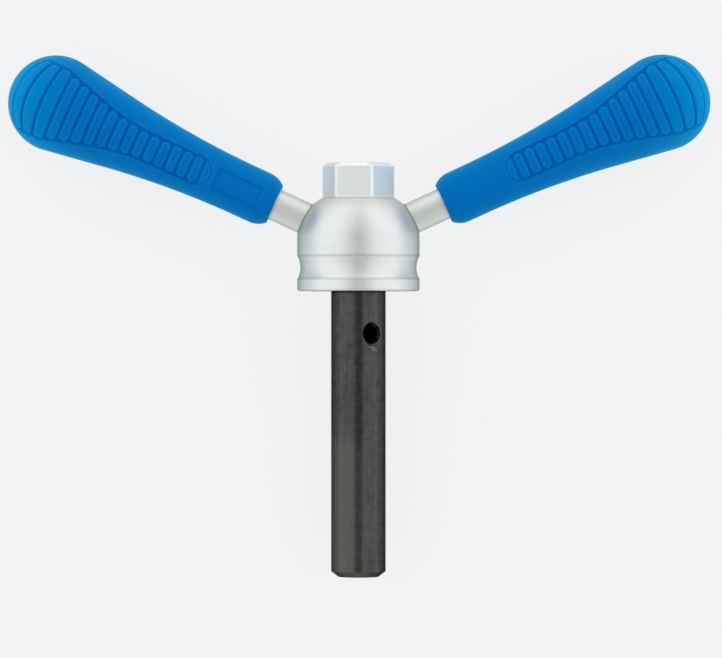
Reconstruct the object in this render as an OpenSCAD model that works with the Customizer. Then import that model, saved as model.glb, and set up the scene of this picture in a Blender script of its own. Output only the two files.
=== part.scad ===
// Two-handled drive for the cutters that thread and face a bicycle's bottom
// bracket shell. A turned hub with a hexagon on top carries two bare rods with
// moulded grips, and a guide shaft below that takes the cutter.
//
// The tool lies on its back, as it comes to rest. Its axis runs along Y, with the
// hexagon towards +Y and the guide shaft towards -Y. Its front faces up, along +Z.
// The origin is on the axis, in the plane of the hub's lower face.
// All sizes are in millimetres.

/* [Hub] */
// Diameter of the hub's plain wall
hub_d = 52.6; // [46:0.1:64]
// Height of the plain wall, up to where the dome begins
hub_wall_h = 22.3; // [20:0.1:28]
// Height of the dome, from the wall to the shoulder under the hexagon
dome_h = 17.6; // [14:0.1:24]
// Radius that rounds the lower rim
rim_round = 1; // [0.5:0.1:3]

/* [Hub waist groove] */
// Height of the middle of the groove
groove_h = 10.1; // [9:0.1:12]
// Width of the groove where it meets the wall
groove_w = 10; // [6:0.5:12]
// Depth of the groove
groove_depth = 1.35; // [0.5:0.05:3]
// Radius that softens both edges of the groove
groove_edge_round = 1.5; // [0.5:0.1:2]

/* [Hexagon] */
// Size across the flats
hex_af = 27.6; // [22:0.1:36]
// Height of the hexagon above the shoulder
hex_h = 15.1; // [10:0.1:24]
// How far the corners are turned off, on the radius
hex_corner_cut = 0.42; // [0.1:0.01:0.7]
// Width of the ledge left round the corners on the shoulder
hex_ledge = 0.15; // [0.1:0.05:2]
// Height of the chamfer on top
hex_chamfer_h = 1.5; // [0.5:0.1:3]
// Width of the chamfer, in from the flats
hex_chamfer_w = 1.3; // [0.5:0.1:3]
// Width of the chamfer, in from the turned corners
hex_corner_chamfer_w = 2; // [0.8:0.1:4]
// Turn of the hexagon about the tool's axis
hex_turn = -8.5; // [-30:0.5:30]

/* [Guide shaft] */
// Diameter of the guide shaft
shaft_d = 23.5; // [18:0.5:30]
// Length of the guide shaft below the hub
shaft_l = 122.8; // [80:0.1:160]
// Length of the chamfer at the end of the shaft
shaft_chamfer_l = 2.3; // [0.5:0.1:4]
// Width of that chamfer, in from the shaft's side
shaft_chamfer_w = 3; // [0.5:0.1:4]
// Diameter of the spigot that is pressed into the hub
spigot_d = 16; // [10:0.5:16]
// Length of the spigot
spigot_l = 20; // [10:0.5:24]

/* [Lock hole in the shaft] */
// Diameter of the hole
lock_hole_d = 6.8; // [4:0.1:8]
// Distance from the hub's lower face to the middle of the hole
lock_hole_drop = 18.3; // [10:0.1:40]
// Depth of the hole below the shaft's surface
lock_hole_depth = 9; // [6:0.5:12]
// Diameter of the countersink
lock_sink_d = 9; // [8:0.1:12]
// Direction of the hole, from the front towards the right
lock_hole_turn = 32; // [0:1:90]

/* [Rods] */
// Diameter of both rods
rod_d = 13.8; // [10:0.1:16]
// Rise of the rods above level
rod_angle = 24.8; // [15:0.1:35]
// Height on the tool's axis that both rods point at
rod_h = 20.6; // [16:0.1:24]
// Distance along the rod from the tool's axis to the rod's inner end
rod_start = 14; // [12:0.5:18]
// Length of rod inside the grip
rod_in_grip = 82; // [40:1:95]
// Chamfer at both ends of a rod
rod_chamfer = 1; // [0.3:0.1:2]

/* [Grips] */
// Distance along the rod from the tool's axis to the left grip's inner end
grip_start = 39.7; // [34:0.1:60]
// How much further out the right grip and the end of its rod sit
right_grip_shift = 0.8; // [0:0.1:4]
// Length of a grip
grip_l = 124.1; // [110:0.1:150]
// Diameter of the slim part
neck_d = 22.9; // [20:0.1:26]
// Diameter of the ball end
ball_d = 41.4; // [36:0.1:48]
// Half angle of the taper that runs into the ball
flare_angle = 9; // [7:0.5:14]
// Radius of the long hollow between the slim part and the taper
flare_r = 390; // [150:10:450]
// Radius that rounds the inner end
grip_end_r = 10; // [7:0.5:11]
// Length of the rounding at the inner end
grip_end_l = 6.9; // [3:0.1:6.9]
// Turn of the left grip about its rod, as it was pushed on
left_grip_turn = -4.5; // [-10:0.5:10]
// Turn of the right grip about its rod, as it was pushed on
right_grip_turn = -3; // [-10:0.5:10]

/* [Ribbed panels on the grips] */
// Distance from one rib to the next
rib_pitch = 5.15; // [4.5:0.01:5.6]
// Width of the gaps between the ribs
rib_gap = 1.7; // [0.8:0.1:2.5]
// Height of the ribs, which is also the depth of the panel
rib_height = 1; // [0.5:0.1:1.5]
// Number of straight ribs
rib_count = 13; // [8:1:14]
// Width of the panel along its parallel part
panel_w = 13.4; // [10:0.1:16]
// Width of the panel on the ball
panel_ball_w = 33.2; // [28:0.1:35]
// Distance from the first straight rib's middle back to that of the panel's round end
panel_round_back = 0.5; // [0:0.1:2]
// Half angle of the panel's widening part
panel_flare_angle = 16.5; // [12:0.5:22]
// Radius that blends the parallel part into the widening part
panel_blend_r = 93; // [20:1:120]
// Width of the gap between the ribs' ends and the panel's edge
panel_edge_gap = 0.9; // [0.5:0.1:1.5]
// Distance from the last straight gap to the middle of the ball
last_gap_back = 2.4; // [1:0.1:4]
// Angle on the ball from its middle to the first curved gap
ball_gap_angle_1 = 12.8; // [10:0.1:22]
// Angle on the ball from its middle to the second curved gap
ball_gap_angle_2 = 35; // [30:0.5:46]
// Angle on the ball from its middle to the third curved gap, which ends the panel
ball_gap_angle_3 = 54.5; // [50:0.5:62]

/* [Plain recessed pad on the left grip] */
// Length of the pad
pad_l = 20.5; // [10:0.5:22]
// Width of the pad
pad_w = 9.6; // [6:0.1:12]
// Corner radius of the pad
pad_corner_r = 1.3; // [0.5:0.1:3]
// Depth of the pad
pad_depth = 0.5; // [0.2:0.1:1]
// Distance from the grip's inner end to the pad
pad_start = 6.8; // [6:0.1:12]

/* [Hidden] */
$fn = 96;
long_arc_fn = 1440;
// Cuts run this far past the faces that they open
past = 1;

hub_r = hub_d / 2;
hub_h = hub_wall_h + dome_h;
// Corners of the hexagon, first sharp and then as turned
hex_sharp_r = hex_af / 2 / cos(30);
hex_corner_r = hex_sharp_r - hex_corner_cut;
shoulder_r = hex_corner_r + hex_ledge;
// The dome is one arc that leaves the wall upright and ends at the shoulder
dome_in = hub_r - shoulder_r;
dome_r = (dome_in * dome_in + dome_h * dome_h) / (2 * dome_in);
// The groove is one arc through its two edges and its deepest point
groove_arc_r = (groove_w * groove_w / 4 + groove_depth * groove_depth) / (2 * groove_depth);
groove_arc_x = hub_r + groove_arc_r - groove_depth;

shaft_r = shaft_d / 2;
rod_r = rod_d / 2;
rod_l = grip_start + rod_in_grip - rod_start;

neck_r = neck_d / 2;
ball_r = ball_d / 2;
ball_s = grip_start + grip_l - ball_r;

rib_w = rib_pitch - rib_gap;
last_gap_end_s = ball_s - last_gap_back + rib_gap / 2;
last_rib_s = last_gap_end_s - rib_gap - rib_w / 2;
first_rib_s = last_rib_s - (rib_count - 1) * rib_pitch;
panel_round_s = first_rib_s - panel_round_back;
panel_half_w = panel_w / 2;
panel_ball_half_w = panel_ball_w / 2;
// Where the panel's widening edge would meet its parallel edge
panel_corner_s = ball_s - (panel_ball_half_w - panel_half_w) / tan(panel_flare_angle);
panel_blend_l = panel_blend_r * tan(panel_flare_angle / 2);
panel_blend_s = panel_corner_s - panel_blend_l;
panel_blend_end_s = panel_corner_s + panel_blend_l * cos(panel_flare_angle);
// Angle that half a gap takes up on the ball
half_gap_angle = asin(rib_gap / 2 / ball_r);

// Half the panel's width at distance s along the rod
function panel_half(s) =
    s < panel_blend_s ? panel_half_w
    : s < panel_blend_end_s
        ? panel_half_w + panel_blend_r - sqrt(pow(panel_blend_r, 2) - pow(s - panel_blend_s, 2))
    : panel_half_w + (s - panel_corner_s) * tan(panel_flare_angle);

// Stands the hub and the shaft, drawn upright, along the Y axis
module along_tool() {
    rotate([-90, 0, 0]) children();
}

// Places what is drawn along +X, with its front up, along the right or the left rod
module along_right_rod() {
    translate([0, rod_h, 0]) rotate([0, 0, rod_angle]) children();
}

module along_left_rod() {
    translate([0, rod_h, 0]) rotate([0, 0, 180 - rod_angle]) children();
}

// Turns an upright shape, or the profile of one, to run along +X
module upright_to_x() {
    rotate([0, 90, 0]) children();
}

// What a radius r takes off the lower outer corner at [x, 0] of a profile
module round_off_corner(x, r) {
    difference() {
        translate([x - r, -past]) square([r + past, r + past]);
        translate([x - r, r]) circle(r);
    }
}

// What softens one edge of the waist groove: side is 1 above and -1 below
module soften_groove_edge(side) {
    e = groove_edge_round;
    reach = groove_arc_r + e;
    across = groove_arc_x - hub_r + e;
    up = sqrt(reach * reach - across * across);
    share = groove_arc_r / reach;
    middle = [hub_r - e, groove_h + side * up];
    on_wall = [hub_r + past / 10, middle[1]];
    edge = [hub_r + past / 10, groove_h];
    on_arc = [groove_arc_x - across * share, groove_h + side * up * share];
    difference() {
        polygon([middle, on_wall, edge, on_arc]);
        translate(middle) circle(e);
    }
}

// Half of the hub's turned section
module hub_section() {
    difference() {
        union() {
            square([hub_r, hub_wall_h]);
            translate([0, hub_wall_h]) square([shoulder_r, dome_h]);
            intersection() {
                translate([hub_r - dome_r, hub_wall_h]) circle(dome_r, $fn = 240);
                translate([0, hub_wall_h - past]) square([hub_r, dome_h + past]);
            }
        }
        translate([groove_arc_x, groove_h]) circle(groove_arc_r);
        soften_groove_edge(1);
        soften_groove_edge(-1);
        round_off_corner(hub_r, rim_round);
    }
}

// The hexagon, with its corners turned off and a chamfer on top
module hexagon() {
    straight_h = hex_h - hex_chamfer_h + past;
    difference() {
        intersection() {
            rotate([0, 0, hex_turn])
                translate([0, 0, hub_h - past]) cylinder(h = hex_h + past, r = hex_sharp_r, $fn = 6);
            translate([0, 0, hub_h - past]) {
                cylinder(h = straight_h, r = hex_corner_r);
                translate([0, 0, straight_h]) cylinder(
                    h = hex_chamfer_h,
                    r1 = hex_corner_r,
                    r2 = hex_corner_r - hex_corner_chamfer_w
                );
            }
        }
        for (side = [0:5]) rotate([0, 0, hex_turn + 30 + 60 * side]) flat_chamfer();
    }
}

// What the chamfer takes off one flat of the hexagon, the one that faces +X
module flat_chamfer() {
    slant = sqrt(pow(hex_chamfer_h, 2) + pow(hex_chamfer_w, 2));
    translate([hex_af / 2, -hex_af / 2, hub_h + hex_h - hex_chamfer_h])
        rotate([0, -atan(hex_chamfer_w / hex_chamfer_h), 0])
            translate([0, 0, -past]) cube([hex_chamfer_h + past, hex_af, slant + 2 * past]);
}

// The hub with its hexagon, the blind bore for the shaft and those for the rods
module hub() {
    color("#d5dadb") difference() {
        along_tool() difference() {
            union() {
                rotate_extrude() hub_section();
                hexagon();
            }
            translate([0, 0, -past]) cylinder(h = spigot_l + past, d = spigot_d);
        }
        along_right_rod() rod_bar(hub_r);
        along_left_rod() rod_bar(hub_r);
    }
}

// A plain bar on a rod's axis, from the rod's inner end outwards
module rod_bar(length) {
    translate([rod_start, 0, 0]) upright_to_x() cylinder(h = length, r = rod_r);
}

// Guide shaft with its spigot in the hub and the countersunk lock hole
module guide_shaft() {
    color("#3a3a3c") along_tool() difference() {
        union() {
            rotate_extrude() polygon([
                [0, 0],
                [shaft_r, 0],
                [shaft_r, shaft_chamfer_l - shaft_l],
                [shaft_r - shaft_chamfer_w, -shaft_l],
                [0, -shaft_l]
            ]);
            translate([0, 0, -past]) cylinder(h = spigot_l + past, d = spigot_d);
        }
        lock_hole();
    }
}

// Hole and 90 degree countersink, square to the shaft's axis
module lock_hole() {
    sink_h = (lock_sink_d - lock_hole_d) / 2;
    // A round shaft falls away beside the hole, so the cone is set to reach its rim there
    fall = shaft_r - sqrt(pow(shaft_r, 2) - pow(lock_sink_d / 2, 2));
    top = shaft_r + past;
    translate([0, 0, -lock_hole_drop]) rotate([90, 0, lock_hole_turn]) {
        translate([0, 0, shaft_r - lock_hole_depth])
            cylinder(h = lock_hole_depth + past, d = lock_hole_d);
        translate([0, 0, shaft_r - fall - sink_h])
            cylinder(
                h = sink_h + fall + past,
                d1 = lock_hole_d,
                d2 = lock_hole_d + 2 * (sink_h + fall + past)
            );
    }
}

// A rod with a chamfer at each end, along +X, longer by extra than the left one
module rod(extra = 0) {
    straight_l = rod_l + extra - 2 * rod_chamfer;
    translate([rod_start, 0, 0]) upright_to_x() {
        cylinder(h = rod_chamfer, r1 = rod_r - rod_chamfer, r2 = rod_r);
        translate([0, 0, rod_chamfer]) cylinder(h = straight_l, r = rod_r);
        translate([0, 0, rod_chamfer + straight_l])
            cylinder(h = rod_chamfer, r1 = rod_r, r2 = rod_r - rod_chamfer);
    }
}

module left_rod() {
    color("#c8c8c6") along_left_rod() rod();
}

module right_rod() {
    color("#c8c8c6") along_right_rod() rod(right_grip_shift);
}

// Half of a grip's section, drawn upright, with its surface moved in by inset
module grip_section(inset = 0) {
    slim_r = neck_r - inset;
    end_r = ball_r - inset;
    arc_r = flare_r + inset;
    corner_s = ball_s - (end_r / cos(flare_angle) - slim_r) / tan(flare_angle);
    arc_s = corner_s - arc_r * tan(flare_angle / 2);
    arc_end = [slim_r + arc_r * (1 - cos(flare_angle)), arc_s + arc_r * sin(flare_angle)];
    // Slim part, long hollow and straight taper, up to where the taper touches the ball
    difference() {
        polygon([
            [0, grip_start],
            [slim_r, grip_start],
            [slim_r, arc_s],
            arc_end,
            [end_r * cos(flare_angle), ball_s - end_r * sin(flare_angle)],
            [0, ball_s]
        ]);
        translate([slim_r + arc_r, arc_s]) circle(arc_r, $fn = long_arc_fn);
    }
    intersection() {
        translate([0, ball_s]) circle(end_r);
        translate([0, ball_s - end_r]) square([end_r, 2 * end_r]);
    }
}

// A grip without its panels, or the surface that the panels' floors lie on
module grip_form(inset = 0) {
    upright_to_x() rotate_extrude() difference() {
        grip_section(inset);
        // Rounding of the inner end
        translate([neck_r - grip_end_r, grip_start]) difference() {
            translate([0, -past]) square([grip_end_r + past, grip_end_l + past]);
            translate([0, grip_end_l]) circle(grip_end_r);
        }
    }
}

// Outline of the panel up to the middle of the ball, seen from the front
module panel_outline() {
    blend_end = [panel_blend_end_s, panel_half(panel_blend_end_s)];
    edge = [
        [panel_round_s, panel_half_w],
        [panel_blend_s, panel_half_w],
        blend_end,
        [ball_s, panel_ball_half_w]
    ];
    translate([panel_round_s, 0]) circle(panel_half_w);
    difference() {
        polygon(concat(edge, [for (i = [3:-1:0]) [edge[i][0], -edge[i][1]]]));
        for (side = [-1, 1])
            translate([panel_blend_s, side * (panel_half_w + panel_blend_r)])
                circle(panel_blend_r, $fn = 720);
    }
}

// A slice of the ball's front between two angles from its middle, out to half_w each side
module ball_slice(from, to, half_w) {
    reach = 2 * ball_r;
    translate([ball_s, half_w, 0]) rotate([90, 0, 0]) linear_extrude(2 * half_w)
        polygon([
            [0, 0],
            [reach * sin(from), reach * cos(from)],
            [reach * sin(to), reach * cos(to)]
        ]);
}

// Everything in front of the panel's floor, ribs included
module panel_space() {
    linear_extrude(ball_r + past) panel_outline();
    ball_slice(0, ball_gap_angle_3 + half_gap_angle, panel_ball_half_w);
}

// A rib with round ends, seen from the front
module straight_rib(s) {
    end = panel_half(s) - panel_edge_gap - rib_w / 2;
    translate([s - rib_w / 2, -end]) square([rib_w, 2 * end]);
    translate([s, end]) circle(rib_w / 2, $fn = 48);
    translate([s, -end]) circle(rib_w / 2, $fn = 48);
}

// All ribs of one panel
module rib_space() {
    curved_half_w = panel_ball_half_w - panel_edge_gap;
    first_half_w = panel_half(last_gap_end_s) - panel_edge_gap;
    linear_extrude(ball_r + 2 * past) {
        for (i = [0:rib_count - 1]) straight_rib(first_rib_s + i * rib_pitch);
        // The short rib at the panel's round end
        intersection() {
            translate([panel_round_s, 0]) circle(panel_half_w - panel_edge_gap);
            translate([first_rib_s - rib_w / 2 - rib_gap - panel_w, -panel_half_w])
                square([panel_w, panel_w]);
        }
        // The first rib of the ball starts a little before its middle
        polygon([
            [last_gap_end_s, -first_half_w],
            [ball_s, -curved_half_w],
            [ball_s, curved_half_w],
            [last_gap_end_s, first_half_w]
        ]);
    }
    ball_slice(0, ball_gap_angle_1 - half_gap_angle, curved_half_w);
    ball_slice(ball_gap_angle_1 + half_gap_angle, ball_gap_angle_2 - half_gap_angle, curved_half_w);
    ball_slice(ball_gap_angle_2 + half_gap_angle, ball_gap_angle_3 - half_gap_angle, curved_half_w);
}

// The channels between and around the ribs, from the grip's surface to the panel's floor
module panel_channels() {
    difference() {
        intersection() {
            grip_form();
            difference() {
                panel_space();
                rib_space();
            }
        }
        grip_form(rib_height);
    }
}

// Recess of the plain pad, seen from the front
module pad_recess() {
    r = pad_corner_r;
    difference() {
        translate([grip_start + pad_start, -pad_w / 2, 0]) linear_extrude(neck_d) {
            translate([r, 0]) square([pad_l - 2 * r, pad_w]);
            translate([0, r]) square([pad_l, pad_w - 2 * r]);
            for (x = [r, pad_l - r], y = [r, pad_w - r])
                translate([x, y]) circle(r, $fn = 48);
        }
        grip_form(pad_depth);
    }
}

// A grip along +X, with a panel on its front and one on its back
module grip() {
    difference() {
        grip_form();
        panel_channels();
        mirror([0, 0, 1]) panel_channels();
        translate([grip_start - past, 0, 0]) upright_to_x()
            cylinder(h = rod_in_grip + past, r = rod_r);
    }
}

module left_grip() {
    color("#0a76c4") along_left_rod() rotate([left_grip_turn, 0, 0]) difference() {
        grip();
        pad_recess();
    }
}

module right_grip() {
    color("#0a76c4") along_right_rod() translate([right_grip_shift, 0, 0])
        rotate([right_grip_turn, 0, 0]) grip();
}

hub();
guide_shaft();
left_rod();
right_rod();
left_grip();
right_grip();
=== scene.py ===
import bmesh
import bpy
import numpy as np
from mathutils import Matrix, Vector


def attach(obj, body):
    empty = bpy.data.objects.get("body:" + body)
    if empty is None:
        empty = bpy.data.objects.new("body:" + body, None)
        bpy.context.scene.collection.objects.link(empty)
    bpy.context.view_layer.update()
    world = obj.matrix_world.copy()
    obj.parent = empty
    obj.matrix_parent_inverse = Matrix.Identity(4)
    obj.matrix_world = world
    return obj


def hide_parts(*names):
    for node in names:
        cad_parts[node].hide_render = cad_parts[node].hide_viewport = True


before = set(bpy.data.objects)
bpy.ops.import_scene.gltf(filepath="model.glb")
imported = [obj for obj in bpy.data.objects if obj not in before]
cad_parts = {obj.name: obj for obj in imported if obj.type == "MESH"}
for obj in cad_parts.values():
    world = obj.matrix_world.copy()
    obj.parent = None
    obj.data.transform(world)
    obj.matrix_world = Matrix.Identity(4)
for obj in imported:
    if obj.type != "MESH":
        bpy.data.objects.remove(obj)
bpy.context.view_layer.update()

MM = 0.001


# Sizes in millimetres. They are the part's own, but for the few that a comment gives to the looks.

# Hub
HUB_R = 26.3
WALL_H = 22.3
DOME_H = 17.6
RIM_ROUND = 1.0
GROOVE_H = 10.1
GROOVE_W = 10.0
GROOVE_DEPTH = 1.35
# Crisper in the looks than the 1.5 of the solid
GROOVE_EDGE_ROUND = 0.9
HUB_H = WALL_H + DOME_H
# The underside starts within the shaft, which hides its inner edge
UNDERSIDE_START_R = 10

# Hexagon
HEX_AF = 27.6
HEX_H = 15.1
HEX_CORNER_CUT = 0.42
HEX_LEDGE = 0.15
HEX_CHAMFER_H = 1.5
HEX_CHAMFER_W = 1.3
HEX_CORNER_CHAMFER_W = 2.0
HEX_TURN = np.radians(-8.5)
# The sloping foot and the soft edges of the hexagon are in the looks only
HEX_FOOT_H = 0.5
HEX_FOOT_W = 0.28
HEX_SOFT_CORNER = 0.05
HEX_SOFT_EDGE = 0.3
HEX_CORNER_R = HEX_AF / 2 / np.cos(np.radians(30)) - HEX_CORNER_CUT
SHOULDER_R = HEX_CORNER_R + HEX_LEDGE
HEX_TOP = HUB_H + HEX_H
# The dome is one arc that leaves the wall upright and ends at the shoulder
DOME_R = ((HUB_R - SHOULDER_R) ** 2 + DOME_H ** 2) / (2 * (HUB_R - SHOULDER_R))

# Guide shaft
LOCK_HOLE_DROP = 18.3
LOCK_HOLE_TURN = np.radians(32)
SINK_R = 4.5
# Past the countersink: where the middle of the painted highlight on its edge is, half that highlight's width,
# and how far the painted shade of the hole reaches
SINK_EDGE_OUT = 0.22
SINK_EDGE_HALF_W = 0.14
HOLE_DARK_OUT = 0.06
# Marks beside the lock hole: the middle of their arcs, their distances and their place.
# Their real pitch of about 0.4 would be a pixel, so it is drawn coarser.
MARK_PITCH = 0.7
MARK_COUNT = 3
MARKS_MIDDLE_X = 2.0
MARKS_START_R = 5.6
MARKS_X = 6.2
MARKS_TOP_Y = -5.4
MARKS_SKEW = 1.0
MARKS_HALF_W = 1.7
# Where the shaft turns lighter and slightly olive, from above and from the right, and how it fades in
OLIVE_TOP = -60.0
OLIVE_RIGHT = 5.0
OLIVE_FADE_DOWN = 9.0
OLIVE_FADE_LEFT = 4.0
OLIVE_SHARE = 0.55
# Height of the painted shadow in the corner under the hub, which is full over its upper end
CORNER_LINE_H = 1.1
CORNER_LINE_FULL_H = 0.2

# Rods
ROD_R = 6.9
ROD_ANGLE = np.radians(24.8)
ROD_H = 20.6
JOINT_LINE_W = 0.45

# Grips
GRIP_START = 39.7
GRIP_L = 124.1
NECK_R = 11.45
BALL_R = 20.7
# The ball's middle along the rod
BALL_S = GRIP_START + GRIP_L - BALL_R
RIGHT_GRIP_SHIFT = 0.8
FLARE_ANGLE = np.radians(9)
FLARE_R = 390.0
GRIP_END_R = 10.0
GRIP_END_L = 6.9
LEFT_GRIP_TURN = np.radians(-4.5)
RIGHT_GRIP_TURN = np.radians(-3)
# The inner end is flat within this ring, and a short way of the bore is made around the rod
END_RING_R = 8.2
ROD_CLEARANCE = 0.05
BORE_SHOWN = 2.0
# Where painted light makes the plastic paler, counted sideways from the tool's axis
PALE_START_X = 116.0
PALE_FULL_X = 152.0

# Ribbed panels on the grips
RIB_PITCH = 5.15
RIB_GAP = 1.7
RIB_W = RIB_PITCH - RIB_GAP
RIB_COUNT = 13
PANEL_HALF_W = 6.7
PANEL_BALL_HALF_W = 16.6
PANEL_FLARE_ANGLE = np.radians(16.5)
PANEL_BLEND_R = 93.0
PANEL_EDGE_GAP = 0.9
LAST_GAP_BACK = 2.4
PANEL_ROUND_BACK = 0.5
BALL_GAPS = np.radians([12.8, 35, 54.5])
# Distances along the rod are counted from the middle of the ball where they end in _A
LAST_GAP_END_A = -LAST_GAP_BACK + RIB_GAP / 2
LAST_RIB_A = LAST_GAP_END_A - RIB_GAP - RIB_W / 2
FIRST_RIB_A = LAST_RIB_A - (RIB_COUNT - 1) * RIB_PITCH
PANEL_ROUND_A = FIRST_RIB_A - PANEL_ROUND_BACK
PANEL_CORNER_A = -(PANEL_BALL_HALF_W - PANEL_HALF_W) / np.tan(PANEL_FLARE_ANGLE)
PANEL_BLEND_L = PANEL_BLEND_R * np.tan(PANEL_FLARE_ANGLE / 2)
PANEL_END_A = BALL_GAPS[-1] * BALL_R + RIB_GAP / 2
# Moulded edges, softer in the looks than in the solid: how deep the channels are (1.0 in the
# solid), how wide their walls are, how the edges above them round off, the corner radii on the
# ball, and how the channels get shallower at both ends of the panel
CHANNEL_DEPTH = 1.35
WALL_W = 0.85
RIB_EDGE_DROP = 0.35
RIB_EDGE_W = 0.9
PANEL_EDGE_DROP = 0.1
PANEL_EDGE_W = 0.5
PANEL_CORNER_R = 4.0
CURVED_RIB_CORNER_R = 1.6
ROUND_END_FADE = 0.5
ROUND_END_FADE_L = 3.5
TIP_FADE = 0.6
TIP_FADE_START = 5.0
TIP_FADE_END = 2.0
# Painted highlights: how far inside a rib and outside the panel their middle is, and how far they reach from
# there
RIB_HIGHLIGHT_IN = 0.35
RIB_HIGHLIGHT_HALF_W = 0.6
PANEL_HIGHLIGHT_OUT = 0.45
PANEL_HIGHLIGHT_HALF_W = 0.7
PANEL_EDGE_HIGHLIGHT = 0.4
# Depths, as shares of a channel's full depth, between which painted shade darkens it
SHADE_START = 0.35
SHADE_FULL = 0.9

# Plain recessed pad on the left grip. It is 0.5 deep in the solid, and the fine line along
# its edge is in the looks only.
PAD_L = 20.5
PAD_HALF_W = 4.8
PAD_CORNER_R = 1.3
PAD_DEPTH = 0.6
PAD_START = 6.8
PAD_WALL_W = 0.6
PAD_LINE_DEPTH = 0.4
PAD_LINE_IN = 0.2
PAD_LINE_FLAT_W = 0.2
PAD_LINE_HALF_W = 0.8
# How much painted shade the fine line along the pad's edge gets
PAD_LINE_SHADE = 0.7


# Small helpers

def smooth_step(low, high, x):
    """0 below low and 1 above high, with a soft start and end."""
    t = np.clip((x - low) / (high - low), 0, 1)
    return t * t * (3 - 2 * t)


def arc(middle, radius, start, end, steps):
    """Points of an arc in a plane, from one angle in degrees to another."""
    angles = np.radians(np.linspace(start, end, steps + 1))
    return [(middle[0] + radius * np.cos(a), middle[1] + radius * np.sin(a)) for a in angles]


def grid_faces(rows, columns, closed, first=0):
    """Quads between neighbouring points of a grid; a closed grid joins its last column to its first."""
    last = columns if closed else columns - 1
    faces = []
    for i in range(rows - 1):
        for j in range(last):
            k = (j + 1) % columns
            low = first + i * columns
            high = low + columns
            faces.append((low + j, low + k, high + k, high + j))
    return faces


def make_piece(name, points, faces, node, material, painted_light=None):
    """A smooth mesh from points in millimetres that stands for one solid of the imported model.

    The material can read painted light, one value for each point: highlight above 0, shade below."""
    mesh = bpy.data.meshes.new(name)
    mesh.from_pydata((np.asarray(points) * MM).tolist(), [], faces)
    if painted_light is not None:
        mesh.attributes.new("painted_light", "FLOAT", "POINT").data.foreach_set("value", painted_light)
    bm = bmesh.new()
    bm.from_mesh(mesh)
    bmesh.ops.remove_doubles(bm, verts=bm.verts, dist=0.002 * MM)
    bmesh.ops.recalc_face_normals(bm, faces=bm.faces)
    for face in bm.faces:
        face.smooth = True
    bm.to_mesh(mesh)
    bm.free()
    mesh.materials.append(material)
    piece = bpy.data.objects.new(name, mesh)
    bpy.context.scene.collection.objects.link(piece)
    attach(piece, "root")
    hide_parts(node)
    return piece


# Grips

def grip_radius(s):
    """Radius of a grip at distance s along its rod, and how fast it grows there."""
    corner_s = BALL_S - (BALL_R / np.cos(FLARE_ANGLE) - NECK_R) / np.tan(FLARE_ANGLE)
    arc_s = corner_s - FLARE_R * np.tan(FLARE_ANGLE / 2)
    arc_end_s = arc_s + FLARE_R * np.sin(FLARE_ANGLE)
    touch_s = BALL_S - BALL_R * np.sin(FLARE_ANGLE)
    if s < GRIP_START + GRIP_END_L:
        back = GRIP_START + GRIP_END_L - s
        rise = np.sqrt(GRIP_END_R ** 2 - back ** 2)
        return NECK_R - GRIP_END_R + rise, back / rise
    if s < arc_s:
        return NECK_R, 0.0
    if s < arc_end_s:
        rise = np.sqrt(FLARE_R ** 2 - (s - arc_s) ** 2)
        return NECK_R + FLARE_R - rise, (s - arc_s) / rise
    if s < touch_s:
        return NECK_R + (s - corner_s) * np.tan(FLARE_ANGLE), np.tan(FLARE_ANGLE)
    radius = np.sqrt(BALL_R ** 2 - (BALL_S - s) ** 2)
    return radius, (BALL_S - s) / radius


def panel_half(a):
    """Half the panel's width at distance a from the middle of the ball."""
    start = PANEL_CORNER_A - PANEL_BLEND_L
    end = PANEL_CORNER_A + PANEL_BLEND_L * np.cos(PANEL_FLARE_ANGLE)
    along = np.clip(a - start, 0, end - start)
    blend = PANEL_HALF_W + PANEL_BLEND_R - np.sqrt(PANEL_BLEND_R ** 2 - along ** 2)
    flare = PANEL_HALF_W + (np.minimum(a, 0) - PANEL_CORNER_A) * np.tan(PANEL_FLARE_ANGLE)
    return np.where(a < end, blend, flare)


def rounded_box(x, y, half_x, half_y, corner_r):
    """How far inside a box with round corners a point lies, below 0 outside it."""
    qx = np.abs(x) - half_x + corner_r
    qy = np.abs(y) - half_y + corner_r
    outside = np.hypot(np.maximum(qx, 0), np.maximum(qy, 0))
    return corner_r - outside - np.minimum(np.maximum(qx, qy), 0)


def inside_panel(a, y):
    """How far inside the panel's outline a point lies, below 0 outside it."""
    slope = np.where(a > PANEL_CORNER_A, PANEL_FLARE_ANGLE, 0.0)
    beside = (panel_half(a) - np.abs(y)) * np.cos(slope)
    round_end = PANEL_HALF_W - np.hypot(a - PANEL_ROUND_A, y)
    on_ball = rounded_box(a, y, PANEL_END_A, PANEL_BALL_HALF_W, PANEL_CORNER_R)
    return np.where(a < PANEL_ROUND_A, round_end, np.where(a < 0, beside, on_ball))


def inside_ribs(a, y):
    """How far inside the nearest rib a point lies, below 0 in the channels."""
    nearest = np.full(np.shape(a), -RIB_GAP)
    for i in range(RIB_COUNT):
        rib_a = FIRST_RIB_A + i * RIB_PITCH
        end = panel_half(rib_a) - PANEL_EDGE_GAP - RIB_W / 2
        past_end = np.maximum(np.abs(y) - end, 0)
        nearest = np.maximum(nearest, RIB_W / 2 - np.hypot(a - rib_a, past_end))
    # The short rib at the panel's round end
    crescent = PANEL_HALF_W - PANEL_EDGE_GAP - np.hypot(a - PANEL_ROUND_A, y)
    nearest = np.maximum(nearest, np.minimum(crescent, FIRST_RIB_A - RIB_W / 2 - RIB_GAP - a))
    # Curved ribs on the ball
    half_y = PANEL_BALL_HALF_W - PANEL_EDGE_GAP
    starts = np.concatenate([[LAST_GAP_END_A], BALL_GAPS[:-1] * BALL_R + RIB_GAP / 2])
    ends = BALL_GAPS * BALL_R - RIB_GAP / 2
    for start, end in zip(starts, ends):
        rib = rounded_box(a - (start + end) / 2, y, (end - start) / 2, half_y, CURVED_RIB_CORNER_R)
        nearest = np.maximum(nearest, rib)
    return nearest


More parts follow.
